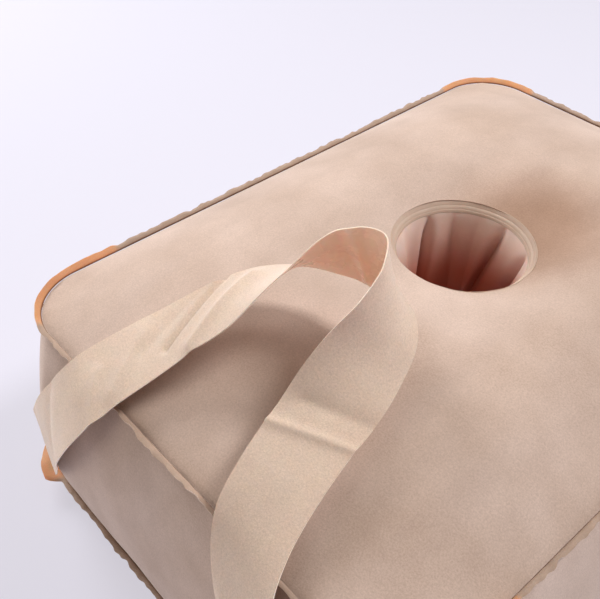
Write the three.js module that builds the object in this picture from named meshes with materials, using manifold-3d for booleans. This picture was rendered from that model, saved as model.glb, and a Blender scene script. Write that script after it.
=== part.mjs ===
// Inflatable face cradle cushion: a flocked PVC box with a face hole, a loose flat strap and a valve.
// Millimetres, +Z up. The cushion rests on z = 0, X runs across it and Y along it.
// The strap is at the -Y end and the valve in the wall at the +Y end.
import * as THREE from 'three';
import { mergeVertices } from 'three/addons/utils/BufferGeometryUtils.js';
import Module from 'manifold-3d';

const wasm = await Module();
wasm.setup();

// Driving dimensions
const WIDTH = 360; // across, weld line to weld line at the top
const LENGTH = 500; // along, weld line to weld line at the top
const CORNER_RADIUS = 45; // of the top weld line, in plan
const WALL_HEIGHT = 158; // top weld plane above bottom weld plane
const SAG = 18; // the bottom panel's flat below the bottom weld plane
const FLARE = 13; // the bottom weld line stands out this much past the top one
const WALL_BULGE = 15; // the wall's swell between the two weld lines
const CORNER_TUCK = 0.6; // how much of that swell a corner's middle lacks
const CROWN = 45; // the top panel's highest swell above its weld plane
const RIM_DIP = 17; // how far the sleeve holds the hole's rim below that
const HOLE_RADIUS = 46;
const WAIST_RADIUS = 38; // the sleeve half way down the hole
const SKIN = 1; // film thickness
const GAP = 0.4; // between welded neighbours
const LIP_WIDTH = 5; // weld lip along the sides
const TOP_CORNER_LIP = 12; // weld lip at the top corners
const BOTTOM_CORNER_LIP = 17; // weld lip at the bottom corners
const LIP_THICKNESS = 1.2;
const STRAP_WIDTH = 50;
const STRAP_THICKNESS = 1;
const HOLE_OFFSET = 5.4; // from the overall box's middle to the face hole's axis, towards -Y

const BOTTOM_WELD_Z = SAG;
const TOP_WELD_Z = SAG + WALL_HEIGHT;
const CORNER_STEPS = 4;
const SIDE_STEPS = 8;
const QUARTER = Math.PI / 2;

const colours = { flock: 0xcdb09b, film: 0xd9a58b, weld: 0xd08a55, valve: 0xe4c3b0 };
const assembly = new THREE.Group();

function addPart(name, geometry, colour, roughness, parent = assembly) {
  const material = new THREE.MeshStandardMaterial({ color: colour, roughness, metalness: 0 });
  const mesh = new THREE.Mesh(geometry, material);
  mesh.name = name;
  parent.add(mesh);
  return mesh;
}

// The top weld line as seen in plan: each point with its outward direction and, at the corners,
// how far round the corner it is (0 at either end of a corner's arc, 1 at its middle).
function weldLine() {
  const points = [];
  const arcCentreX = WIDTH / 2 - CORNER_RADIUS;
  const arcCentreY = LENGTH / 2 - CORNER_RADIUS;
  const cornerSigns = [[1, 1], [-1, 1], [-1, -1], [1, -1]];
  cornerSigns.forEach(([signX, signY], corner) => {
    for (let i = 0; i <= CORNER_STEPS; i++) {
      const angle = (corner + i / CORNER_STEPS) * QUARTER;
      const out = new THREE.Vector2(Math.cos(angle), Math.sin(angle));
      const at = new THREE.Vector2(signX * arcCentreX, signY * arcCentreY);
      at.addScaledVector(out, CORNER_RADIUS);
      points.push({ at, out, cornerness: Math.sin((Math.PI * i) / CORNER_STEPS), corner });
    }
    const from = points[points.length - 1];
    const [nextX, nextY] = cornerSigns[(corner + 1) % cornerSigns.length];
    const to = new THREE.Vector2(nextX * arcCentreX, nextY * arcCentreY);
    to.addScaledVector(from.out, CORNER_RADIUS);
    for (let i = 1; i < SIDE_STEPS; i++) {
      const at = from.at.clone().lerp(to, i / SIDE_STEPS);
      points.push({ at, out: from.out, cornerness: 0, corner: null });
    }
  });
  return points;
}

const outline = weldLine();

// A sheet of even thickness. grid[row][column] holds the points of its outer face, whose outward
// side is the cross product of the row and column directions. closed joins the last column
// to the first.
function sheet(grid, thickness, closed) {
  const rows = grid.length;
  const columns = grid[0].length;
  const point = (row, column) => grid[row][closed ? (column + columns) % columns : column];
  const positions = [];
  const inner = [];
  for (let row = 0; row < rows; row++) {
    for (let column = 0; column < columns; column++) {
      const before = closed ? column - 1 : Math.max(column - 1, 0);
      const after = closed ? column + 1 : Math.min(column + 1, columns - 1);
      const along = point(Math.min(row + 1, rows - 1), column).clone();
      along.sub(point(Math.max(row - 1, 0), column));
      const across = point(row, after).clone().sub(point(row, before));
      const normal = along.cross(across).normalize();
      const outer = point(row, column);
      positions.push(outer.x, outer.y, outer.z);
      inner.push(...outer.clone().addScaledVector(normal, -thickness).toArray());
    }
  }
  positions.push(...inner);
  const outside = (row, column) => row * columns + (column % columns);
  const inside = (row, column) => rows * columns + outside(row, column);
  const index = [];
  const quad = (a, b, c, d) => index.push(a, b, c, a, c, d);
  const spans = closed ? columns : columns - 1;
  for (let c = 0; c < spans; c++) {
    for (let r = 0; r < rows - 1; r++) {
      quad(outside(r, c), outside(r + 1, c), outside(r + 1, c + 1), outside(r, c + 1));
      quad(inside(r, c), inside(r, c + 1), inside(r + 1, c + 1), inside(r + 1, c));
    }
    quad(outside(0, c), outside(0, c + 1), inside(0, c + 1), inside(0, c));
    const last = rows - 1;
    quad(outside(last, c + 1), outside(last, c), inside(last, c), inside(last, c + 1));
  }
  if (!closed) {
    const edge = columns - 1;
    for (let r = 0; r < rows - 1; r++) {
      quad(outside(r + 1, 0), outside(r, 0), inside(r, 0), inside(r + 1, 0));
      quad(outside(r, edge), outside(r + 1, edge), inside(r + 1, edge), inside(r, edge));
    }
  }
  const geometry = new THREE.BufferGeometry();
  geometry.setAttribute('position', new THREE.Float32BufferAttribute(positions, 3));
  geometry.setIndex(index);
  return geometry;
}

// Panels: each runs out from the hole's rim (share 0) to the weld line (share 1).
const fullness = (share) => CROWN * (1 - share ** 2.6);
const rimDip = (share) => RIM_DIP * Math.exp(-((share / 0.22) ** 1.6));
const topHeight = (share) => TOP_WELD_Z + 0.5 + fullness(share) - rimDip(share);
const BOTTOM_RIM_LIFT = 3;
const rimLift = (share) => BOTTOM_RIM_LIFT * Math.max(0, 1 - share / 0.08);
const bottomHeight = (share) => {
  const swell = Math.min(SAG, fullness(share) + 0.5);
  return BOTTOM_WELD_Z - swell + rimLift(share);
};

function rimToWeld(point, share, flare) {
  const edge = point.at.clone().addScaledVector(point.out, flare);
  const rim = edge.clone().setLength(HOLE_RADIUS);
  return rim.lerp(edge, share);
}

function panelRow(share, height, flare) {
  return outline.map((point) => {
    const { x, y } = rimToWeld(point, share, flare);
    return new THREE.Vector3(x, y, height(share));
  });
}

const topShares = [0, 0.06, 0.13, 0.22, 0.34, 0.5, 0.66, 0.8, 0.91, 1];
const bottomShares = [1, 0.95, 0.9, 0.85, 0.81, 0.45, 0.08, 0];
const topGrid = topShares.map((share) => panelRow(share, topHeight, 0));
const bottomGrid = bottomShares.map((share) => panelRow(share, bottomHeight, FLARE));
addPart('top_panel', sheet(topGrid, SKIN, true), colours.flock, 0.95);
addPart('bottom_panel', sheet(bottomGrid, SKIN, true), colours.flock, 0.95);

// Side wall: one band from the top weld (share 0) to the bottom weld (share 1).
function wallOut(share, cornerness) {
  const swell = WALL_BULGE * (1 - CORNER_TUCK * cornerness);
  return swell * Math.sin(Math.PI * share) ** 0.8 + FLARE * share;
}

const wallShares = [0, 0.06, 0.15, 0.28, 0.43, 0.57, 0.72, 0.85, 0.94, 1];
const wallZ = (share) => TOP_WELD_Z - GAP - (WALL_HEIGHT - 2 * GAP) * share;

function wallPoint(point, share, lift = 0) {
  const out = wallOut(share, point.cornerness) + lift;
  const { x, y } = point.at.clone().addScaledVector(point.out, out);
  return new THREE.Vector3(x, y, wallZ(share));
}

const wallGrid = wallShares.map((share) => outline.map((point) => wallPoint(point, share)));

// Valve: it stands square to the wall at the +Y end, half way up. Depths count outwards from
// the wall's face: the base's collar reaches in, and the stem stands out.
const VALVE_Z = wallZ(0.5);
const WALL_REACH = Math.max(...wallShares.map((share) => wallOut(share, 0)));
const VALVE_Y = LENGTH / 2 + WALL_REACH + GAP;
const BASE_RADIUS = 21;
const BASE_THICKNESS = 1.5;
const COLLAR_BORE = 11.1;
const COLLAR_RADIUS = 12.6;
const COLLAR_DEPTH = 26;
const STEM_RADIUS = 10.8;
const STEM_BORE = 7.2;
const STEM_OUT = 20;
const STEM_DEPTH = 14;
const HEAD_RADIUS = 13;
const HEAD_THICKNESS = 2;
const TETHER_WIDTH = 6;
const CAP_RADIUS = 12;
const CAP_THICKNESS = 2;
const PLUG_RADIUS = 6.6;
const PLUG_DEPTH = 5;
const FLAP_RADIUS = 9.3;
const FLAP_THICKNESS = 0.6;
const ROUND_SIDES = 28;

function solidFrom(geometry) {
  const bare = geometry.clone();
  bare.deleteAttribute('normal');
  bare.deleteAttribute('uv');
  const merged = mergeVertices(bare);
  const vertProperties = new Float32Array(merged.attributes.position.array);
  const triVerts = new Uint32Array(merged.index.array);
  return new wasm.Manifold(new wasm.Mesh({ numProp: 3, vertProperties, triVerts }));
}

function geometryFrom(solid) {
  const mesh = solid.getMesh();
  const geometry = new THREE.BufferGeometry();
  geometry.setAttribute('position', new THREE.BufferAttribute(mesh.vertProperties, 3));
  geometry.setIndex(new THREE.BufferAttribute(mesh.triVerts, 1));
  return geometry;
}

// A ring about the valve's axis from a closed profile of [radius, depth] corners.
function ring(corners) {
  const profile = [...corners, corners[0]].map(([radius, depth]) => new THREE.Vector2(radius, depth));
  return new THREE.LatheGeometry(profile, ROUND_SIDES);
}

function disc(radius, thickness, depth) {
  const geometry = new THREE.CylinderGeometry(radius, radius, thickness, ROUND_SIDES);
  return geometry.translate(0, depth + thickness / 2, 0);
}

function block(width, depths, heights) {
  const geometry = new THREE.BoxGeometry(width, depths[1] - depths[0], heights[1] - heights[0]);
  return geometry.translate(0, (depths[0] + depths[1]) / 2, (heights[0] + heights[1]) / 2);
}

const valveHole = disc(COLLAR_RADIUS + 1, 20, -10).translate(0, VALVE_Y, VALVE_Z);
const wallSolid = solidFrom(sheet(wallGrid, SKIN, true)).subtract(solidFrom(valveHole));
addPart('side_wall', geometryFrom(wallSolid), colours.flock, 0.95);

const valve = new THREE.Group();
valve.position.set(0, VALVE_Y, VALVE_Z);
assembly.add(valve);

addPart('valve_base', ring([
  [COLLAR_BORE, -COLLAR_DEPTH],
  [COLLAR_RADIUS, -COLLAR_DEPTH],
  [COLLAR_RADIUS, 0],
  [BASE_RADIUS, 0],
  [BASE_RADIUS - 1, BASE_THICKNESS],
  [COLLAR_BORE, BASE_THICKNESS],
]), colours.valve, 0.35, valve);

const headUnder = STEM_OUT - HEAD_THICKNESS;
addPart('valve_stem', ring([
  [STEM_BORE, -STEM_DEPTH],
  [STEM_RADIUS, -STEM_DEPTH],
  [STEM_RADIUS, headUnder],
  [HEAD_RADIUS, headUnder],
  [HEAD_RADIUS, STEM_OUT],
  [STEM_BORE, STEM_OUT],
]), colours.valve, 0.35, valve);

// The tether is one moulding: a ring that grips the stem, a post, and beyond the fold the cap.
const tetherRing = [headUnder - 3.8, headUnder - 0.6];
const POST_HEIGHTS = [16.4, 18];
const tetherGrip = solidFrom(ring([
  [STEM_RADIUS + 0.3, tetherRing[0]],
  [COLLAR_RADIUS + 0.4, tetherRing[0]],
  [COLLAR_RADIUS + 0.4, tetherRing[1]],
  [STEM_RADIUS + 0.3, tetherRing[1]],
]));
const armFrom = COLLAR_RADIUS - 0.4;
const tetherArm = solidFrom(block(TETHER_WIDTH, tetherRing, [armFrom, POST_HEIGHTS[1]]));
const post = solidFrom(block(TETHER_WIDTH, [tetherRing[0], STEM_OUT - 0.1], POST_HEIGHTS));
addPart('valve_tether', geometryFrom(tetherGrip.add(tetherArm).add(post)), colours.valve, 0.35, valve);

const capUnder = STEM_OUT + GAP;
const capDisc = solidFrom(disc(CAP_RADIUS, CAP_THICKNESS, capUnder));
const plug = solidFrom(disc(PLUG_RADIUS, PLUG_DEPTH + 0.5, capUnder - PLUG_DEPTH));
const capArmDepths = [capUnder + 0.2, capUnder + CAP_THICKNESS - 0.2];
const capArm = solidFrom(block(TETHER_WIDTH, capArmDepths, [CAP_RADIUS - 1, POST_HEIGHTS[1] - 0.4]));
const pullTab = solidFrom(block(TETHER_WIDTH, capArmDepths, [-CAP_RADIUS - 5, -CAP_RADIUS + 1]));
const cap = capDisc.add(plug).add(capArm).add(pullTab);
addPart('valve_cap', geometryFrom(cap), colours.valve, 0.35, valve);
addPart('valve_flap', disc(FLAP_RADIUS, FLAP_THICKNESS, -STEM_DEPTH - 1.2), colours.film, 0.4, valve);

// The band's two ends overlap in a lap joint, taped down the wall beside the valve.
const LAP_COLUMN = CORNER_STEPS + 2;
const lapGrid = wallShares.slice(1, -1).map((share) => {
  const right = wallPoint(outline[LAP_COLUMN], share, GAP + SKIN);
  const left = wallPoint(outline[LAP_COLUMN + 1], share, GAP + SKIN);
  return [right, right.clone().lerp(left, 0.45)];
});
addPart('side_wall_lap', sheet(lapGrid, SKIN * 0.8, false), colours.flock, 0.95);

// Weld lips: the two margins fused face to face, standing out from each weld line and wider
// round the corners. Tilts are in degrees above level.
const topLip = {
  rootZ: TOP_WELD_Z + 1, flare: 0, cornerWidth: TOP_CORNER_LIP, sideTilt: 30, cornerTilt: 60,
};
const bottomLip = {
  rootZ: BOTTOM_WELD_Z + 0.6, flare: FLARE, cornerWidth: BOTTOM_CORNER_LIP, sideTilt: -8, cornerTilt: -4,
};

function lipPoint(lip, point, share, lift = 0) {
  const bulk = point.cornerness ** 0.5;
  const reach = THREE.MathUtils.lerp(LIP_WIDTH, lip.cornerWidth, bulk) * share;
  const tilt = THREE.MathUtils.degToRad(THREE.MathUtils.lerp(lip.sideTilt, lip.cornerTilt, bulk));
  const out = lip.flare + GAP + reach * Math.cos(tilt);
  const { x, y } = point.at.clone().addScaledVector(point.out, out);
  return new THREE.Vector3(x, y, lip.rootZ + reach * Math.sin(tilt) + lift);
}

function lipSheet(lip) {
  const grid = [0, 0.5, 1].map((share) => outline.map((point) => lipPoint(lip, point, share)));
  return sheet(grid, LIP_THICKNESS, true);
}

addPart('top_weld_lip', lipSheet(topLip), colours.weld, 0.6);
addPart('bottom_weld_lip', lipSheet(bottomLip), colours.weld, 0.6);

// Face hole: a waisted sleeve between the rims, and a weld ring round each rim.
const SLEEVE_STEPS = 8;
const SLEEVE_SIDES = 40;
const sleeveTop = topHeight(0) - SKIN - GAP;
const sleeveBottom = bottomHeight(0) + SKIN + GAP;
const sleeveGrid = [];
for (let step = 0; step <= SLEEVE_STEPS; step++) {
  const share = step / SLEEVE_STEPS;
  const waist = Math.sin(Math.PI * share) ** 0.7;
  const radius = THREE.MathUtils.lerp(HOLE_RADIUS, WAIST_RADIUS, waist);
  const z = THREE.MathUtils.lerp(sleeveBottom, sleeveTop, share);
  const row = [];
  for (let side = 0; side < SLEEVE_SIDES; side++) {
    const angle = (side / SLEEVE_SIDES) * 4 * QUARTER;
    row.push(new THREE.Vector3(radius * Math.cos(angle), radius * Math.sin(angle), z));
  }
  sleeveGrid.push(row);
}
addPart('hole_sleeve', sheet(sleeveGrid, SKIN, true), colours.film, 0.4);

const RING_WIDTH = 4.5;
function ringRow(inset, height, flare, lift) {
  return outline.map((point) => {
    const edge = point.at.clone().addScaledVector(point.out, flare);
    const share = inset / (edge.length() - HOLE_RADIUS);
    const at = edge.setLength(HOLE_RADIUS + inset);
    return new THREE.Vector3(at.x, at.y, height(share) + lift);
  });
}
const insets = [0, RING_WIDTH / 2, RING_WIDTH];
const ringLift = GAP + SKIN;
const topRing = insets.map((inset) => ringRow(inset, topHeight, 0, ringLift));
const bottomInsets = insets.toReversed();
const bottomRing = bottomInsets.map((inset) => ringRow(inset, bottomHeight, FLARE, -ringLift));
addPart('hole_ring_top', sheet(topRing, SKIN, true), colours.film, 0.7);
addPart('hole_ring_bottom', sheet(bottomRing, SKIN, true), colours.film, 0.7);

// Strap: one flat band, flocked outside. Its ends are welded to the bottom lip where the -Y corners
// begin on either long side, and its middle lies in a loop on the top panel. Each station gives a
// point on its centre line, with z counted from the top weld plane, and the way across the band
// from the loop's inner edge to its outer edge.
const strapStations = [
  [[-193, -228, -148], [-38, 92, -4]],
  [[-197, -236, -135], [-60, 70, 10]],
  [[-182, -252, -126], [-64, 40, 56]],
  [[-155, -268, -113], [-82, 24, 52]],
  [[-126, -276, -78], [-91, 24, 35]],
  [[-101, -278, -38], [-88, 34, 32]],
  [[-81, -267, -4], [-86, 42, 30]],
  [[-70, -248, 14], [-86, 48, 20]],
  [[-52, -212, 37], [-86, 52, 1]],
  [[-34, -182, 59], [-82, 56, -10]],
  [[-14, -152, 79], [-58, 64, -54]],
  [[9, -126, 91], [-12, 32, -96]],
  [[31, -117, 93], [0, 16, -98]],
  [[48, -124, 90], [14, 42, -90]],
  [[57, -140, 80], [40, 54, -76]],
  [[59, -162, 64], [72, 48, -48]],
  [[61, -192, 46], [96, 30, -6]],
  [[66, -225, 30], [98, 20, 0]],
  [[72, -249, 13], [99, 4, 0]],
  [[84, -266, -10], [96, -4, 20]],
  [[108, -276, -38], [84, 6, 50]],
  [[140, -279, -72], [72, 20, 62]],
  [[170, -270, -104], [62, 42, 62]],
  [[191, -251, -126], [45, 64, 60]],
  [[200, -235, -140], [40, 86, 30]],
  [[193, -228, -150], [38, 92, 0]],
];
const STRAP_FOLD_Y = -LENGTH / 2;
const STRAP_FOLD_GAP = 4;
const STRAP_STEPS = 2 * (strapStations.length - 1);

function spline(points) {
  return new THREE.CatmullRomCurve3(points, false, 'catmullrom', 0.5);
}

const strapLine = spline(strapStations.map(([[x, y, z]]) => new THREE.Vector3(x, y, z + TOP_WELD_Z)));
const strapAcross = spline(strapStations.map(([, way]) => new THREE.Vector3(...way).normalize()));
const strapGrid = [];
for (let step = 0; step <= STRAP_STEPS; step++) {
  const share = step / STRAP_STEPS;
  const tangent = strapLine.getTangent(share);
  const across = strapAcross.getPoint(share);
  across.addScaledVector(tangent, -across.dot(tangent)).setLength(STRAP_WIDTH / 2);
  const centre = strapLine.getPoint(share);
  strapGrid.push([centre.clone().sub(across), centre, centre.clone().add(across)]);
}

// The band folds where it crosses the top edge, so it is cut there into two legs and a loop.
const foldCut = new THREE.BoxGeometry(WIDTH, STRAP_FOLD_GAP, 2 * TOP_WELD_Z);
foldCut.translate(0, STRAP_FOLD_Y, TOP_WELD_Z);
const band = solidFrom(sheet(strapGrid, STRAP_THICKNESS, false)).subtract(solidFrom(foldCut));
const isLoop = (piece) => piece.boundingBox().max[1] > STRAP_FOLD_Y / 2;
for (const piece of band.decompose()) {
  const side = piece.boundingBox().min[0] < -WIDTH / 4 ? 'left' : 'right';
  const name = isLoop(piece) ? 'strap_loop' : `strap_leg_${side}`;
  addPart(name, geometryFrom(piece), colours.flock, 0.9);
}

// Each end of the band is welded to the bottom lip under a patch that follows the corner.
const PATCH_THICKNESS = 1;
function endPatch(corner, steps) {
  const arc = outline.filter((point) => point.corner === corner).slice(...steps);
  const lift = GAP + PATCH_THICKNESS;
  const grid = [0.25, 0.85].map((share) => arc.map((point) => lipPoint(bottomLip, point, share, lift)));
  return sheet(grid, PATCH_THICKNESS, false);
}
addPart('strap_weld_left', endPatch(2, [0, 4]), colours.weld, 0.6);
addPart('strap_weld_right', endPatch(3, [1, 5]), colours.weld, 0.6);

// The valve and the strap stand out by different amounts, so the hole's axis is a little to one
// side of the overall box's middle, which is the origin.
assembly.position.y = -HOLE_OFFSET;

export default assembly;
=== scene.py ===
import math

import bpy
import numpy as np
from mathutils import Matrix, Vector, noise


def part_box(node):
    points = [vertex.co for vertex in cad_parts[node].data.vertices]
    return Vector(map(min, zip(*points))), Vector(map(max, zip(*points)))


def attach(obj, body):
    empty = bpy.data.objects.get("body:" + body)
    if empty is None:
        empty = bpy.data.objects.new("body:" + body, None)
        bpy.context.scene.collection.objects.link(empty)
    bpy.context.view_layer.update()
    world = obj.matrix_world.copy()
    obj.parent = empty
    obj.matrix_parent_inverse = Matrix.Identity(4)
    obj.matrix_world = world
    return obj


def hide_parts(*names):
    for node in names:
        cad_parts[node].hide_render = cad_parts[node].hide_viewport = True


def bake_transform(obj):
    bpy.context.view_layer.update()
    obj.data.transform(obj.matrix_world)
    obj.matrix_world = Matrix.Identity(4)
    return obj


# The looks of an inflatable face cradle cushion: flocked film panels with welded, ruffled lips, a
# creased sleeve through the middle, a loose flat strap and an air valve. Shapes are worked out in
# millimetres about the face hole's axis, and become metres in the frame in surface().
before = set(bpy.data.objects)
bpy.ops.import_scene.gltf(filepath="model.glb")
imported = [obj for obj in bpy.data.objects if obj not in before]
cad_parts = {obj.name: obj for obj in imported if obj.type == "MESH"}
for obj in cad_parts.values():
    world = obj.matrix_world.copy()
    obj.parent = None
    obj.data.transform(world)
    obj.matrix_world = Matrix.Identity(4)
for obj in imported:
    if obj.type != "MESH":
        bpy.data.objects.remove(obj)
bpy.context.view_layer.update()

MM = 0.001


def corners(node):
    """A CAD node's lowest and highest corners, in millimetres."""
    low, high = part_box(node)
    return np.array(low) / MM, np.array(high) / MM


# Sizes, from the frame
panel_low, panel_high = corners("top_panel")
base_low, base_high = corners("bottom_panel")
wall_low, wall_high = corners("side_wall")
sleeve_low, sleeve_high = corners("hole_sleeve")
valve_low, valve_high = corners("valve_base")
WELD_GAP = 0.4  # between the wall's edges and the weld planes
SKIN = 0.9  # the cushion's film
WIDTH, LENGTH = (panel_high - panel_low)[:2]
HOLE_Y = (panel_low[1] + panel_high[1]) / 2
FLARE = (base_high[0] - base_low[0] - WIDTH) / 2
TOP_Z = wall_high[2] + WELD_GAP
BOTTOM_Z = wall_low[2] - WELD_GAP
HOLE_RADIUS = (sleeve_high[0] - sleeve_low[0]) / 2 - 1
VALVE_Z = (valve_low[2] + valve_high[2]) / 2
VALVE_RADIUS = (valve_high[0] - valve_low[0]) / 2
VALVE_Y = valve_high[1] - 1.5 - HOLE_Y

# Sizes that the frame's boxes don't give
CORNER_RADIUS = 45
CROWN = 45
PANEL_LIFT = 0.5  # the top panel's edge over the weld plane
RIM_DIP = 17
WALL_BULGE = 15
CORNER_TUCK = 0.6
WAIST_RADIUS = 38
VALVE_OPENING = 12  # radius of the wall's opening at the valve
VALVE_HOLD = 26  # how far past the valve's base the wall is drawn flat
RING_OUTER = 50.8
LIP_WIDTH = 5
STRAP_WIDTH = 50
STRAP_THICKNESS = 0.7
LIP_THICKNESS = 0.7
RING_THICKNESS = 0.8

# How finely surfaces are divided: the spacing round the box, along a lip and along the strap
PANEL_STEP = 3.0
LIP_STEP = 1.5
STRAP_STEP = 1.5

QUARTER = math.pi / 2


def blend_of(low, high, share):
    """low at share 0, high at share 1, and in proportion between."""
    return low + (high - low) * share


def smooth(share):
    """0 below 0, 1 above 1, and an even S between."""
    share = np.clip(share, 0, 1)
    return share * share * (3 - 2 * share)


def ripple(points, wavelength, seed):
    """Smooth noise between about -1 and 1 at each of an array of 2-D or 3-D points."""
    spots = np.zeros(points.shape[:-1] + (3,))
    spots[..., : points.shape[-1]] = points / wavelength
    spots[..., 2] += 17.3 * seed
    values = [1.6 * noise.noise(Vector(spot)) for spot in spots.reshape(-1, 3)]
    return np.array(values).reshape(points.shape[:-1])


# ---------------------------------------------------------------- meshes


def surface(name, grid, closed=False, drop=None):
    """A surface through grid[row, column], facing row direction x column direction. closed joins the
    last column to the first. drop marks the points whose faces are left out."""
    rows, columns = grid.shape[:2]
    points = grid.reshape(-1, 3) + (0, HOLE_Y, 0)
    strips = columns if closed else columns - 1
    row, column = np.meshgrid(np.arange(rows - 1), np.arange(strips), indexing="ij")
    after = (column + 1) % columns
    here, below = row * columns, (row + 1) * columns
    faces = [here + column, below + column, below + after, here + after]
    faces = np.stack(faces, axis=-1).reshape(-1, 4)
    if drop is not None:
        faces = faces[~drop.reshape(-1)[faces].any(axis=1)]
        used = np.unique(faces)
        renumber = np.zeros(len(points), int)
        renumber[used] = np.arange(len(used))
        points, faces = points[used], renumber[faces]
    mesh = bpy.data.meshes.new(name)
    mesh.from_pydata((points * MM).tolist(), [], faces.tolist())
    mesh.update()
    piece = bpy.data.objects.new(name, mesh)
    bpy.context.scene.collection.objects.link(piece)
    return piece


def apply_modifiers(piece):
    """Makes the modified mesh the piece's own."""
    bpy.context.view_layer.update()
    seen = piece.evaluated_get(bpy.context.evaluated_depsgraph_get())
    mesh = bpy.data.meshes.new_from_object(seen)
    piece.modifiers.clear()
    piece.data = mesh


def smooth_shade(piece, angle=50):
    piece.data.polygons.foreach_set("use_smooth", [True] * len(piece.data.polygons))
    piece.data.set_sharp_from_angle(angle=math.radians(angle))


def thicken(piece, thickness, outside, inside=None, rim=None):
    """Gives a surface its film's thickness, inwards, and its materials."""
    for material in (outside, inside or outside, rim or outside):
        piece.data.materials.append(material)
    solid = piece.modifiers.new("thickness", "SOLIDIFY")
    solid.thickness = thickness * MM
    solid.offset = -1
    solid.material_offset = 1
    solid.material_offset_rim = 2
    apply_modifiers(piece)
    smooth_shade(piece)


# ---------------------------------------------------------------- materials


def new_material(name):
    material = bpy.data.materials.new(name)
    material.use_nodes = True
    nodes, links = material.node_tree.nodes, material.node_tree.links
    shader = nodes["Principled BSDF"]
    place = nodes.new("ShaderNodeTexCoord").outputs["Object"]

    def noise_at(scale, detail=3.0, roughness=0.5, stretch=None):
        texture = nodes.new("ShaderNodeTexNoise")
        texture.inputs["Scale"].default_value = scale
        texture.inputs["Detail"].default_value = detail
        texture.inputs["Roughness"].default_value = roughness
        source = place
        if stretch:
            mapping = nodes.new("ShaderNodeMapping")
            mapping.inputs["Scale"].default_value = stretch
            mapping.inputs["Rotation"].default_value = (0.3, 0.5, 0.6)
            links.new(place, mapping.inputs["Vector"])
            source = mapping.outputs["Vector"]
        links.new(source, texture.inputs["Vector"])
        return texture.outputs["Fac"]

    def ramp(factor, low, high, low_colour, high_colour):
        node = nodes.new("ShaderNodeValToRGB")
        node.color_ramp.elements[0].position = low
        node.color_ramp.elements[1].position = high
        node.color_ramp.elements[0].color = (*low_colour, 1)
        node.color_ramp.elements[1].color = (*high_colour, 1)
        links.new(factor, node.inputs["Fac"])
        return node.outputs["Color"]

    def mix(kind, factor, first, second):
        node = nodes.new("ShaderNodeMix")
        node.data_type = "RGBA"
        node.blend_type = kind
        if isinstance(factor, float):
            node.inputs["Factor"].default_value = factor
        else:
            links.new(factor, node.inputs["Factor"])
        colour_inputs = [socket for socket in node.inputs if socket.type == "RGBA"]
        for socket, value in zip(colour_inputs, (first, second)):
            if isinstance(value, tuple):
                socket.default_value = (*value, 1)
            else:
                links.new(value, socket)
        return next(socket for socket in node.outputs if socket.type == "RGBA")

    def bump(height, strength, distance, below=None):
        node = nodes.new("ShaderNodeBump")
        node.inputs["Strength"].default_value = strength
        node.inputs["Distance"].default_value = distance * MM
        links.new(height, node.inputs["Height"])
        if below:
            links.new(below, node.inputs["Normal"])
        return node.outputs["Normal"]

    return material, shader, nodes, links, noise_at, ramp, mix, bump


WHITE = (1.0, 1.0, 1.0)


def flock(name, dark, light, deep=0.0, glow=(0.55, 0.28, 0.16)):
    """Short flock on film: a cloudy nap brushed in streaks, fine grain and a velvet sheen."""
    material, shader, _, links, noise_at, ramp, mix, bump = new_material(name)
    clouds = ramp(noise_at(16.0, 4.0, 0.55), 0.3, 0.7, dark, light)
    brushed = noise_at(30.0, 3.0, 0.6, (1.0, 0.28, 0.6))
    streaks = ramp(brushed, 0.35, 0.7, (0.93, 0.93, 0.94), WHITE)
    grain = ramp(noise_at(950.0, 3.0, 0.7), 0.28, 0.72, (0.76, 0.75, 0.74), WHITE)
    napped = mix("MULTIPLY", 1.0, clouds, streaks)
    links.new(mix("MULTIPLY", 1.0, napped, grain), shader.inputs["Base Color"])
    worn = ramp(noise_at(40.0, 3.0), 0.3, 0.7, (0.86, 0.86, 0.86), (0.97, 0.97, 0.97))
    links.new(worn, shader.inputs["Roughness"])
    nap = bump(noise_at(45.0, 4.0, 0.6), 0.25, 0.6)
    links.new(bump(noise_at(1100.0, 3.0, 0.7), 0.5, 0.35, nap), shader.inputs["Normal"])
    shader.inputs["Specular IOR Level"].default_value = 0.12
    shader.inputs["Sheen Weight"].default_value = 0.28
    shader.inputs["Sheen Roughness"].default_value = 0.45
    shader.inputs["Sheen Tint"].default_value = (1.0, 0.95, 0.92, 1)
    if deep:
        shader.inputs["Subsurface Weight"].default_value = deep
        shader.inputs["Subsurface Radius"].default_value = glow
        shader.inputs["Subsurface Scale"].default_value = 4 * MM
    return material


def film(name, dark, light, roughness, deep, glow=(1.0, 0.35, 0.22), reach=5):
    """Bare soft film: smooth and a little cloudy, with light passing through it."""
    material, shader, _, links, noise_at, ramp, mix, bump = new_material(name)
    clouds = ramp(noise_at(28.0, 3.0, 0.5), 0.3, 0.7, dark, light)
    specks = ramp(noise_at(700.0, 2.0, 0.5), 0.2, 0.8, (0.95, 0.94, 0.93), WHITE)
    links.new(mix("MULTIPLY", 1.0, clouds, specks), shader.inputs["Base Color"])
    gloss = (roughness - 0.06,) * 3
    matt = (roughness + 0.08,) * 3
    links.new(ramp(noise_at(90.0, 3.0), 0.3, 0.7, gloss, matt), shader.inputs["Roughness"])
    links.new(bump(noise_at(160.0, 3.0, 0.55), 0.06, 0.3), shader.inputs["Normal"])
    shader.inputs["Subsurface Weight"].default_value = deep
    shader.inputs["Subsurface Radius"].default_value = glow
    shader.inputs["Subsurface Scale"].default_value = reach * MM
    return material


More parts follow.
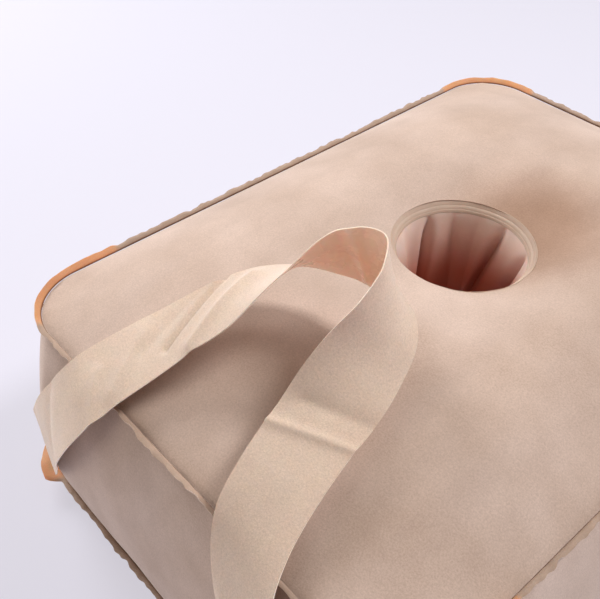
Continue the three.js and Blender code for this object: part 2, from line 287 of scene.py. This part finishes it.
def multiply_colour(material, factor, colour):
    """Multiplies a material's base colour by colour where factor is 1, and leaves it where it's 0."""
    nodes, links = material.node_tree.nodes, material.node_tree.links
    base = nodes["Principled BSDF"].inputs["Base Color"]
    product = nodes.new("ShaderNodeMix")
    product.data_type = "RGBA"
    product.blend_type = "MULTIPLY"
    first, second = [socket for socket in product.inputs if socket.type == "RGBA"]
    second.default_value = (*colour, 1)
    links.new(base.links[0].from_socket, first)
    links.new(factor, product.inputs["Factor"])
    links.new(next(socket for socket in product.outputs if socket.type == "RGBA"), base)


def smooth_range(material, value, start, end):
    """0 where value is start and 1 where it's end, with an even S between."""
    nodes, links = material.node_tree.nodes, material.node_tree.links
    node = nodes.new("ShaderNodeMapRange")
    node.interpolation_type = "SMOOTHSTEP"
    node.inputs["From Min"].default_value = start
    node.inputs["From Max"].default_value = end
    links.new(value, node.inputs["Value"])
    return node.outputs["Result"]


def tint_below(material, top, fall, colour):
    """Tints a material from the height top down to fall below it, in metres."""
    nodes, links = material.node_tree.nodes, material.node_tree.links
    split = nodes.new("ShaderNodeSeparateXYZ")
    links.new(nodes.new("ShaderNodeTexCoord").outputs["Object"], split.inputs["Vector"])
    multiply_colour(material, smooth_range(material, split.outputs["Z"], top, top - fall), colour)


def tint_near(material, place, reach, colour):
    """Tints a material round a place: fully within a fifth of reach, and not past it, in metres."""
    nodes, links = material.node_tree.nodes, material.node_tree.links
    distance = nodes.new("ShaderNodeVectorMath")
    distance.operation = "DISTANCE"
    distance.inputs[1].default_value = place
    links.new(nodes.new("ShaderNodeTexCoord").outputs["Object"], distance.inputs[0])
    nearness = smooth_range(material, distance.outputs["Value"], reach, 0.2 * reach)
    multiply_colour(material, nearness, colour)


def lip_film(name, flocked, bare):
    """A welded margin: flocked along the sides, bare and lit through where it widens at the corners."""
    material, shader, nodes, links, noise_at, ramp, mix, bump = new_material(name)
    grain = ramp(noise_at(1300.0, 2.0, 0.6), 0.25, 0.75, (0.84, 0.83, 0.82), WHITE)
    attribute = nodes.new("ShaderNodeAttribute")
    attribute.attribute_name = "bare"
    clouds = ramp(noise_at(60.0, 3.0), 0.3, 0.7, (0.88, 0.88, 0.88), WHITE)
    tone = mix("MIX", attribute.outputs["Fac"], flocked, bare)
    # Painted shade: darker toward the lip's root, as shade in the crease between lip and panel.
    root_shade = nodes.new("ShaderNodeAttribute")
    root_shade.attribute_name = "root_shade"
    tone = mix("MULTIPLY", 1.0, tone, clouds)
    tone = mix("MULTIPLY", root_shade.outputs["Fac"], tone, (0.34, 0.25, 0.2))
    links.new(mix("MULTIPLY", 0.8, tone, grain), shader.inputs["Base Color"])
    shader.inputs["Specular IOR Level"].default_value = 0.15
    rough = ramp(attribute.outputs["Fac"], 0.0, 1.0, (0.92, 0.92, 0.92), (0.5, 0.5, 0.5))
    links.new(rough, shader.inputs["Roughness"])
    links.new(bump(noise_at(900.0, 2.0, 0.7), 0.3, 0.2), shader.inputs["Normal"])
    lit = ramp(attribute.outputs["Fac"], 0.0, 1.0, (0.04, 0.04, 0.04), (0.45, 0.45, 0.45))
    links.new(lit, shader.inputs["Subsurface Weight"])
    shader.inputs["Subsurface Radius"].default_value = (1.0, 0.45, 0.2)
    shader.inputs["Subsurface Scale"].default_value = 3 * MM
    return material


# Colours are linear. flock and film take the darker end of their clouds first.
FLOCK_DARK = (0.56, 0.425, 0.345)
FLOCK_LIGHT = (0.71, 0.565, 0.485)
panel_flock = flock("panel_flock", FLOCK_DARK, FLOCK_LIGHT)
top_flock_dip_shade = flock("top_flock_dip_shade", FLOCK_DARK, FLOCK_LIGHT)
# Painted shade: the top's flock is darkened round this place in metres, as shade in the dip at the
# hole's far side.
DIP_PLACE = (0.022, (HOLE_Y + 48) * MM, (TOP_Z + 34) * MM)
tint_near(top_flock_dip_shade, DIP_PLACE, 0.09, (0.64, 0.53, 0.45))
strap_flock = flock("strap_flock", (0.73, 0.58, 0.465), (0.82, 0.67, 0.55), deep=0.25)
strap_film = film("strap_film", (0.80, 0.58, 0.46), (0.86, 0.66, 0.54), 0.26, 0.3)
cut_edge = film("cut_edge", (0.92, 0.74, 0.62), (0.97, 0.82, 0.70), 0.4, 0.3)
lip_margin = lip_film("lip_margin", (0.46, 0.345, 0.275), (0.68, 0.38, 0.20))
lip_edge = film("lip_edge", (0.66, 0.51, 0.41), (0.80, 0.65, 0.53), 0.6, 0.05)
ring_film = film("ring_film", (0.50, 0.375, 0.30), (0.62, 0.475, 0.385), 0.66, 0.15)
sleeve_film = film("sleeve_film", (0.80, 0.56, 0.49), (0.90, 0.68, 0.61), 0.34, 0.4)
# Painted shade: the sleeve is darkened from just under the rim downwards, as shade deeper in the hole.
tint_below(sleeve_film, (TOP_Z + 20) * MM, 0.055, (0.55, 0.26, 0.20))
inner_film = film("inner_film", (0.62, 0.40, 0.30), (0.68, 0.46, 0.36), 0.4, 0.2)
patch_film = film("patch_film", (0.62, 0.28, 0.11), (0.72, 0.36, 0.16), 0.42, 0.5)
valve_plastic = film("valve_plastic", (0.74, 0.58, 0.48), (0.80, 0.65, 0.55), 0.32, 0.3)

# ---------------------------------------------------------------- cushion


def weld_outline(spacing):
    """The top weld line in plan, from the +X side round by +Y: points about spacing apart, each
    one's outward direction and how far round a corner it is (0 on a side, 1 at the middle)."""
    points, outs, cornerness = [], [], []
    reach = np.array([WIDTH / 2 - CORNER_RADIUS, LENGTH / 2 - CORNER_RADIUS])
    signs = np.array([[1, 1], [-1, 1], [-1, -1], [1, -1]])
    arc_steps = round(CORNER_RADIUS * QUARTER / spacing)
    for corner, sign in enumerate(signs):
        for step in range(arc_steps + 1):
            angle = (corner + step / arc_steps) * QUARTER
            out = np.array([math.cos(angle), math.sin(angle)])
            points.append(sign * reach + out * CORNER_RADIUS)
            outs.append(out)
            cornerness.append(math.sin(math.pi * step / arc_steps))
        start = points[-1]
        end = signs[(corner + 1) % 4] * reach + out * CORNER_RADIUS
        side_steps = round(np.linalg.norm(end - start) / spacing)
        for step in range(1, side_steps):
            points.append(blend_of(start, end, step / side_steps))
            outs.append(out)
            cornerness.append(0.0)
    return np.array(points), np.array(outs), np.array(cornerness)


def pillow(spots, half_width, half_length):
    """How far film pressed out of a rectangle swells: 1 in the middle and 0 along the sides."""
    part = np.minimum(abs(spots) / (half_width, half_length), 1) ** 3.2
    return ((1 - part[..., 0]) * (1 - part[..., 1])) ** 0.93


def panel_plan(flare, rows, inner_radius):
    """A panel in plan, from its hole out to the weld line: points, the share of the way out from
    the rim, and each column's cornerness."""
    points, outs, cornerness = weld_outline(PANEL_STEP)
    edge = points + outs * flare
    far = np.linalg.norm(edge, axis=1)
    inner = edge / far[:, None] * inner_radius
    share = 0.5 - 0.5 * np.cos(np.linspace(0, math.pi, rows))
    spots = inner + (edge - inner) * share[:, None, None]
    reach = (np.linalg.norm(spots, axis=2) - HOLE_RADIUS) / (far - HOLE_RADIUS)
    return spots, edge, reach, cornerness


def weld_puckers(edge, away, cornerness, seed):
    """Small gathers that fade out within a finger's width of a weld line."""
    strength = 0.35 + 1.5 * cornerness**2
    fine = strength * ripple(edge, 9, seed) * np.exp(-away / 7)
    fade = np.exp(-away / 20) * (1 - np.exp(-away / 4))
    broad = (0.5 + 2.2 * cornerness) * ripple(edge, 26, seed + 1) * fade
    return fine + broad


def make_top_panel():
    spots, edge, reach, cornerness = panel_plan(flare=0, rows=84, inner_radius=RING_OUTER - 0.6)
    half = (WIDTH / 2, LENGTH / 2)
    swell = pillow(spots, *half) - pillow(edge, *half) * np.clip(reach, 0, 1) ** 6
    z = TOP_Z + PANEL_LIFT + CROWN * swell - RIM_DIP * np.exp(-(np.clip(reach, 0, 1) / 0.22) ** 1.6)
    away = np.linalg.norm(edge - spots, axis=2)
    z += weld_puckers(edge, away, cornerness, 1) * (1 - np.exp(-away / 1.5))
    z += 0.9 * ripple(spots, 75, 3) * smooth(away / 30)
    z += 0.35 * ripple(spots, 11, 5) * np.exp(-((np.linalg.norm(spots, axis=2) - HOLE_RADIUS) / 7) ** 2)
    return surface("cover_top", np.dstack([spots, z]), closed=True)


def make_bottom_panel():
    spots, edge, reach, cornerness = panel_plan(FLARE, rows=70, inner_radius=HOLE_RADIUS + 0.5)
    half = (WIDTH / 2 + FLARE, LENGTH / 2 + FLARE)
    swell = CROWN * (pillow(spots, *half) - pillow(edge, *half) * np.clip(reach, 0, 1) ** 6)
    full = np.minimum(swell / BOTTOM_Z, 1)
    away = np.linalg.norm(edge - spots, axis=2)
    from_hole = np.linalg.norm(spots, axis=2) - HOLE_RADIUS
    z = BOTTOM_Z * (1 - full) ** 1.4 + 3 * np.clip(1 - from_hole / 12, 0, 1) ** 2
    z += weld_puckers(edge, away, cornerness, 8) * (1 - np.exp(-away / 1.5))
    return surface("cover_bottom", np.dstack([spots, np.maximum(z, 0)])[::-1], closed=True)


def make_wall():
    points, outs, cornerness = weld_outline(PANEL_STEP)
    height = TOP_Z - BOTTOM_Z
    share = 0.5 - 0.5 * np.cos(np.linspace(0, math.pi, 62))[:, None]
    swell = WALL_BULGE * (1 - CORNER_TUCK * cornerness)
    bulge = swell * np.sin(math.pi * share).clip(0) ** 0.8 + FLARE * share
    folds = 1.6 * cornerness * ripple(points, 24, 12) * np.sin(math.pi * share).clip(0)
    top = weld_puckers(points, height * share, cornerness, 14)
    bottom = weld_puckers(points, height * (1 - share), cornerness, 16)
    lift = bulge + folds + top + bottom * 1.2
    z = np.broadcast_to(TOP_Z - WELD_GAP - (height - 2 * WELD_GAP) * share, lift.shape)
    grid = np.dstack([points[:, 0] + outs[:, 0] * lift, points[:, 1] + outs[:, 1] * lift, z])
    grid += 0.6 * ripple(grid, 60, 18)[..., None] * np.dstack([outs[:, 0], outs[:, 1], 0 * outs[:, 0]])
    at_valve = np.hypot(grid[..., 0], grid[..., 2] - VALVE_Z)
    at_valve[grid[..., 1] < LENGTH / 4] = LENGTH
    held = smooth(1 - (at_valve - VALVE_RADIUS) / VALVE_HOLD)
    grid[..., 1] = blend_of(grid[..., 1], VALVE_Y - 0.25, held)
    return surface("cover_wall", grid, closed=True, drop=at_valve < VALVE_OPENING)


# Round each corner, from +X +Y on by -X +Y, a lip is wide for half_run either side of a point this
# far past the corner's middle.
WIDE_SHIFT = (0, 0, -17, 17)
WIDE_HALF_RUN = 40


def wide_part(points):
    """1 where a lip is wide and 0 where it's narrow."""
    part = np.zeros(len(points))
    for sign_x, sign_y, shift in zip((1, -1, -1, 1), (1, 1, -1, -1), WIDE_SHIFT):
        inset = CORNER_RADIUS * (1 - math.sqrt(0.5))
        middle = np.array([sign_x * (WIDTH / 2 - inset), sign_y * (LENGTH / 2 - inset)])
        past = (points - middle) @ (-sign_y, sign_x) * math.sqrt(0.5)
        near = np.linalg.norm(points - middle, axis=1) < 2.5 * WIDE_HALF_RUN
        part += near * smooth((WIDE_HALF_RUN - abs(past - shift)) / 5 + 0.5)
    return part


def lip_grid(root_z, flare, corner_width, side_tilt, corner_tilt, seed):
    """A weld lip's outer face, a soft rounded margin whose raw edge waves up and down, and how bare
    each of its points is. Tilts are in degrees up from level."""
    points, outs, _ = weld_outline(LIP_STEP)
    bulk = wide_part(points)
    share = np.linspace(0, 1, 9)[:, None]
    fine_cut = (0.2 - 0.16 * bulk) * ripple(points, 5.5, seed)
    broad_cut = (0.12 - 0.04 * bulk) * ripple(points, 15, seed + 1)
    reach = blend_of(LIP_WIDTH, corner_width, bulk) * (1 + fine_cut + broad_cut)
    broad_sway = (13 - 7 * bulk) * ripple(points, 12, seed + 2)
    sway = broad_sway + (9 - 7 * bulk) * ripple(points, 5.5, seed + 3)
    tilt = np.radians(blend_of(side_tilt, corner_tilt, bulk) + sway * share**1.5)
    rise = 1.3 * np.sin(math.pi * share) ** 0.8 * (1 - 0.7 * bulk)
    out = flare + WELD_GAP * 0.2 + reach * share * np.cos(tilt) - rise * np.sin(tilt)
    z = root_z + reach * share * np.sin(tilt) + rise * np.cos(tilt)
    grid = np.dstack([points[:, 0] + outs[:, 0] * out, points[:, 1] + outs[:, 1] * out, z])
    return grid, bulk * smooth(share * 6)


def make_lip(name, grid, bare):
    piece = surface(name, grid, closed=True)
    # Where the material paints the crease's shade: 1 at the lip's root, fading to 0 about a third of
    # the way across.
    root_shade = smooth(1.5 - 5 * np.linspace(0, 1, len(grid))[:, None]) * np.ones_like(bare)
    for title, values in (("bare", bare), ("root_shade", root_shade)):
        attribute = piece.data.attributes.new(title, "FLOAT", "POINT")
        attribute.data.foreach_set("value", values.reshape(-1))
    thicken(piece, LIP_THICKNESS, lip_margin, lip_margin, lip_edge)
    return piece


def make_ring(name, profile, flip):
    """The welded ring round a rim of the hole, from [radius, height] points."""
    turns = np.linspace(0, 4 * QUARTER, 240, endpoint=False)
    profile = np.array(profile, float)
    grid = np.empty((len(profile), len(turns), 3))
    grid[..., 0] = profile[:, :1] * np.cos(turns)
    grid[..., 1] = profile[:, :1] * np.sin(turns)
    grid[..., 2] = profile[:, 1:]
    grid[..., 2] += 0.25 * ripple(grid[..., :2], 14, 21)
    return surface(name, grid[::-1] if flip else grid, closed=True)


# Sleeve creases: each one's turn round the hole in degrees at the top, how far it turns in the first
# 75 mm down, its depth (below 0 for a lobe that stands into the hole) and its width in degrees.
SLEEVE_CREASES = [
    (86, 24, 11.0, 5.0),
    (161, 9, 9.0, 5.0),
    (46, 34, 8.0, 6.0),
    (137, -5, 3.0, 8.0),
    (113, 5, 3.0, 7.0),
    (203, 3, -5.0, 13.0),
    (226, 8, 8.0, 6.0),
    (258, 6, 8.0, 5.0),
    (292, -4, 6.0, 7.0),
    (324, -8, 8.0, 5.0),
    (8, 10, 7.0, 6.0),
]
CREASE_RUN = 75


def make_sleeve(low, high):
    turns = np.linspace(0, 4 * QUARTER, 360, endpoint=False)
    share = np.linspace(0, 1, 110)[:, None]
    waist = np.sin(math.pi * share).clip(0) ** 0.7
    radius = blend_of(HOLE_RADIUS - 0.4, WAIST_RADIUS, waist) + 0 * turns
    below = (1 - share) * (high - low)
    for turn, twist, depth, width in SLEEVE_CREASES:
        centre = np.radians(turn + twist * np.minimum(below / CREASE_RUN, 1))
        across = (turns - centre + math.pi) % (2 * math.pi) - math.pi
        grown = smooth((below + 6) / 28) * smooth((high - low - below) / 40)
        radius += depth * grown * np.exp(-np.abs(np.degrees(across) / width) ** 1.3)
        radius -= 0.2 * depth * grown * np.exp(-((np.degrees(across) / (3.0 * width)) ** 2))
    z = blend_of(low, high, share) + 0 * turns
    grid = np.dstack([radius * np.cos(turns), radius * np.sin(turns), z])
    return surface("sleeve", grid, closed=True)


top_cover = make_top_panel()
bottom_cover = make_bottom_panel()
wall_cover = make_wall()
for cover, material in ((top_cover, top_flock_dip_shade), (bottom_cover, panel_flock), (wall_cover, panel_flock)):
    thicken(cover, SKIN, material, inner_film)

top_margin = lip_grid(TOP_Z + 0.9, flare=0, corner_width=5.8, side_tilt=30, corner_tilt=46, seed=31)
top_lip = make_lip("weld_lip_top", *top_margin)
bottom_margin = lip_grid(BOTTOM_Z + 0.5, FLARE, corner_width=17, side_tilt=-4, corner_tilt=2, seed=41)
bottom_lip = make_lip("weld_lip_bottom", *bottom_margin)

RIM_Z = TOP_Z + PANEL_LIFT + CROWN - RIM_DIP
# The ring's section: radius, and height from the rim
ring_profile = [
    (HOLE_RADIUS - 0.4, -8.2),
    (HOLE_RADIUS - 0.2, -7.0),
    (HOLE_RADIUS + 0.4, -6.0),
    (HOLE_RADIUS + 0.8, -6.0),
    (HOLE_RADIUS + 1.2, -5.1),
    (HOLE_RADIUS + 2.3, -3.6),
    (HOLE_RADIUS + 2.7, -3.5),
    (HOLE_RADIUS + 3.1, -2.6),
    (HOLE_RADIUS + 4.2, -1.2),
    (RING_OUTER, -0.4),
    (RING_OUTER + 0.3, -1.1),
]
top_profile = [(radius, RIM_Z + 0.4 + z) for radius, z in ring_profile]
bottom_profile = [(radius, max(2.2 - z * 0.3, 0.4)) for radius, z in ring_profile]
ring_top = make_ring("ring_top", top_profile, flip=False)
ring_bottom = make_ring("ring_bottom", bottom_profile, flip=True)
for ring in (ring_top, ring_bottom):
    thicken(ring, RING_THICKNESS, ring_film)
sleeve = make_sleeve(low=3.5, high=RIM_Z - 7.8)
thicken(sleeve, SKIN, sleeve_film)

# ---------------------------------------------------------------- strap

# Stations along the band: a point on its centre line, with z counted from the top weld plane, and
# the way across it from the loop's inner edge to its outer edge.
STRAP_STATIONS = [
    ((-193, -228, -148), (-38, 92, -4)),
    ((-197, -236, -135), (-60, 70, 10)),
    ((-182, -252, -126), (-64, 40, 56)),
    ((-155, -268, -113), (-82, 24, 52)),
    ((-126, -276, -78), (-91, 24, 35)),
    ((-101, -278, -38), (-88, 34, 32)),
    ((-81, -267, -4), (-86, 42, 30)),
    ((-70, -248, 14), (-86, 48, 20)),
    ((-52, -212, 37), (-86, 52, 1)),
    ((-34, -182, 59), (-82, 56, -10)),
    ((-14, -152, 79), (-58, 64, -54)),
    ((9, -126, 91), (-12, 32, -96)),
    ((31, -117, 93), (0, 16, -98)),
    ((48, -124, 90), (14, 42, -90)),
    ((57, -140, 80), (40, 54, -76)),
    ((59, -162, 64), (72, 48, -48)),
    ((61, -192, 46), (96, 30, -6)),
    ((66, -225, 30), (98, 20, 0)),
    ((72, -249, 13), (99, 4, 0)),
    ((84, -266, -10), (96, -4, 20)),
    ((108, -276, -38), (84, 6, 50)),
    ((140, -279, -72), (72, 20, 62)),
    ((170, -270, -104), (62, 42, 62)),
    ((191, -251, -126), (45, 64, 60)),
    ((200, -235, -140), (40, 86, 30)),
    ((193, -228, -150), (38, 92, 0)),
]

# Creases in the band: where each one starts and ends (a station, and a share of the way from the
# centre line to the outer edge), how far it stands out of the band's outer face, and its width.
STRAP_CREASES = [
    ((9.05, 1.0), (7.95, -0.35), -3.0, 2.6),
    ((8.65, 0.9), (7.65, 0.0), -1.4, 8.0),
    ((9.5, 0.6), (8.4, -0.8), 3.4, 5.5),
    ((7.7, 0.5), (7.1, -0.6), 1.8, 7.0),
    ((16.4, -1.0), (16.05, 1.0), 1.8, 2.6),
    ((15.9, -0.6), (15.6, 1.0), -2.2, 5.5),
    ((11.25, -0.9), (11.4, 0.8), -2.0, 3.0),
    ((6.4, -1.0), (6.9, 0.2), 1.8, 5.0),
    ((19.2, -0.8), (19.8, 0.9), 1.6, 6.0),
    ((4.6, -0.9), (5.3, 0.9), -1.2, 7.0),
]


def through(knots, count):
    """A smooth curve through the knots, as count points evenly spaced in knot number."""
    knots = np.vstack([2 * knots[0] - knots[1], knots, 2 * knots[-1] - knots[-2]])
    at = np.linspace(0, len(knots) - 3, count)
    first = np.minimum(at.astype(int), len(knots) - 4)
    w = (at - first)[:, None]
    before, start, end, after = (knots[first + k] for k in range(4))
    leave, arrive = (end - before) / 2, (after - start) / 2
    bend = 2 * start - 2 * end + leave + arrive
    ease = 3 * end - 3 * start - 2 * leave - arrive
    return ((bend * w + ease) * w + leave) * w + start


def unit(vectors):
    """The vectors, each made 1 long."""
    return vectors / np.linalg.norm(vectors, axis=-1, keepdims=True)


ROUTE_POINTS = 1200


def strap_grid():
    """The band's outer face, a row every STRAP_STEP or so, and the band's whole length."""
    line = through(np.array([point for point, _ in STRAP_STATIONS], float), ROUTE_POINTS)
    across = through(unit(np.array([way for _, way in STRAP_STATIONS], float)), ROUTE_POINTS)
    run = np.concatenate([[0], np.cumsum(np.linalg.norm(np.diff(line, axis=0), axis=1))])
    along = np.linspace(0, run[-1], round(run[-1] / STRAP_STEP))
    line = np.stack([np.interp(along, run, line[:, k]) for k in range(3)], axis=1)
    across = np.stack([np.interp(along, run, across[:, k]) for k in range(3)], axis=1)
    tangent = unit(np.gradient(line, axis=0))
    across = unit(across - tangent * (across * tangent).sum(axis=1, keepdims=True))
    normal = np.cross(tangent, across)
    place = np.linspace(-1, 1, 33) * STRAP_WIDTH / 2
    grid = line[:, None] + across[:, None] * place[:, None]
    grid[..., 2] += TOP_Z
    flat = np.dstack(np.broadcast_arrays(along[:, None], place))
    push = 0.35 * ripple(flat, 26, 61)
    stations = np.linspace(0, len(STRAP_STATIONS) - 1, len(run))
    for (start_station, start_place), (end_station, end_place), height, width in STRAP_CREASES:
        start = np.array([np.interp(start_station, stations, run), start_place * STRAP_WIDTH / 2])
        end = np.array([np.interp(end_station, stations, run), end_place * STRAP_WIDTH / 2])
        share = np.clip((flat - start) @ (end - start) / ((end - start) @ (end - start)), 0, 1)
        away = np.linalg.norm(flat - start - share[..., None] * (end - start), axis=2)
        push += height * np.exp(-((away / width) ** 1.4))
    grid += normal[:, None] * push[..., None]
    return grid, run[-1]


strap, strap_length = strap_grid()


# The loop begins, and each leg ends, this far below the top weld.
SPLIT_DROP = 22
loop_rows = np.nonzero(strap[:, strap.shape[1] // 2, 2] > TOP_Z - SPLIT_DROP)[0]
leg_row, far_leg_row = loop_rows[0], loop_rows[-1]
strap_pieces = {
    "band_leg_left": strap[: leg_row + 1],
    "band_loop": strap[leg_row : far_leg_row + 1],
    "band_leg_right": strap[far_leg_row:],
}
bands = {name: surface(name, grid) for name, grid in strap_pieces.items()}
for band in bands.values():
    thicken(band, STRAP_THICKNESS, strap_flock, strap_film, cut_edge)


def on_frame(x, y, z):
    """A point given about the hole's axis, in millimetres, as metres in the frame."""
    return (x * MM, (y + HOLE_Y) * MM, z * MM)


# Each band's placing is made part of its mesh.
for name in ("band_leg_left", "band_leg_right"):
    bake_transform(bands[name])
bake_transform(bands["band_loop"])

# ---------------------------------------------------------------- bodies

for piece, node in (
    (top_cover, "top_panel"),
    (bottom_cover, "bottom_panel"),
    (wall_cover, "side_wall"),
    (top_lip, "top_weld_lip"),
    (bottom_lip, "bottom_weld_lip"),
    (ring_top, "hole_ring_top"),
    (ring_bottom, "hole_ring_bottom"),
    (sleeve, "hole_sleeve"),
):
    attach(piece, "cushion")
    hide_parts(node)
for name, node in (
    ("band_leg_left", "strap_leg_left"),
    ("band_loop", "strap_loop"),
    ("band_leg_right", "strap_leg_right"),
):
    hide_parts(node)
for node, material in (
    ("valve_base", valve_plastic),
    ("valve_stem", valve_plastic),
    ("valve_tether", valve_plastic),
    ("valve_cap", valve_plastic),
    ("valve_flap", inner_film),
    ("strap_weld_left", patch_film),
    ("strap_weld_right", patch_film),
    ("side_wall_lap", panel_flock),
):
    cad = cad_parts[node]
    cad.data.materials.clear()
    cad.data.materials.append(material)

# ---------------------------------------------------------------- studio


def make_floor():
    mesh = bpy.data.meshes.new("floor")
    half = 12.0
    points = [(-half, -half, 0), (half, -half, 0), (half, half, 0), (-half, half, 0)]
    mesh.from_pydata(points, [], [(0, 1, 2, 3)])
    floor = bpy.data.objects.new("floor", mesh)
    bpy.context.scene.collection.objects.link(floor)
    material = bpy.data.materials.new("floor_paper")
    material.use_nodes = True
    shader = material.node_tree.nodes["Principled BSDF"]
    shader.inputs["Base Color"].default_value = (0.26, 0.26, 0.31, 1)
    shader.inputs["Emission Color"].default_value = (0.93, 0.91, 1.0, 1)
    shader.inputs["Emission Strength"].default_value = 0.56
    shader.inputs["Roughness"].default_value = 0.9
    shader.inputs["Specular IOR Level"].default_value = 0.1
    mesh.materials.append(material)


def area_light(name, place, size, power, colour):
    """A softbox at place, in metres, aimed at the cushion's middle."""
    light = bpy.data.lights.new(name, "AREA")
    light.shape = "DISK"
    light.size = size
    light.energy = power
    light.color = colour
    lamp = bpy.data.objects.new(name, light)
    lamp.location = place
    aim = Vector((0, 0, 0.15)) - Vector(place)
    lamp.rotation_euler = aim.to_track_quat("-Z", "Y").to_euler()
    bpy.context.scene.collection.objects.link(lamp)


make_floor()
area_light("key_softbox", (0.7, 0.9, 1.85), 0.5, 37, (1.0, 0.97, 0.95))
area_light("left_softbox", (-1.6, -0.1, 1.1), 1.0, 26, (1.0, 0.98, 0.97))
area_light("fill_softbox", (-0.7, -1.8, 0.8), 1.4, 8, (1.0, 0.91, 0.8))
world = bpy.data.worlds.new("studio")
world.use_nodes = True
world_nodes, world_links = world.node_tree.nodes, world.node_tree.links
direction = world_nodes.new("ShaderNodeSeparateXYZ")
world_links.new(world_nodes.new("ShaderNodeTexCoord").outputs["Generated"], direction.inputs["Vector"])
sky = world_nodes.new("ShaderNodeValToRGB")  # a pale backdrop all round, dim overhead
sky.color_ramp.elements[0].position = 0.12
sky.color_ramp.elements[0].color = (0.60, 0.59, 0.64, 1)
sky.color_ramp.elements[1].position = 0.4
sky.color_ramp.elements[1].color = (0.165, 0.132, 0.11, 1)
world_links.new(direction.outputs["Z"], sky.inputs["Fac"])
world_links.new(sky.outputs["Color"], world_nodes["Background"].inputs["Color"])
bpy.context.scene.world = world
bpy.context.scene.view_settings.view_transform = "Standard"

# Camera: its place, and how far it looks down and round
CAMERA_PLACE = on_frame(261, -388, TOP_Z + 388.5)
CAMERA_DOWN = math.radians(42.44)
CAMERA_ROUND = math.radians(47.85)
CAMERA_ROLL = math.radians(0.7)
camera_data = bpy.data.cameras.new("camera")
camera_data.lens = 50
camera_data.sensor_width = 36
camera_data.clip_start = 0.02
camera = bpy.data.objects.new("camera", camera_data)
turn = Matrix.Rotation(CAMERA_ROUND, 4, "Z") @ Matrix.Rotation(math.pi / 2 - CAMERA_DOWN, 4, "X")
camera.matrix_world = Matrix.Translation(CAMERA_PLACE) @ turn @ Matrix.Rotation(CAMERA_ROLL, 4, "Z")
bpy.context.scene.collection.objects.link(camera)
bpy.context.scene.camera = camera
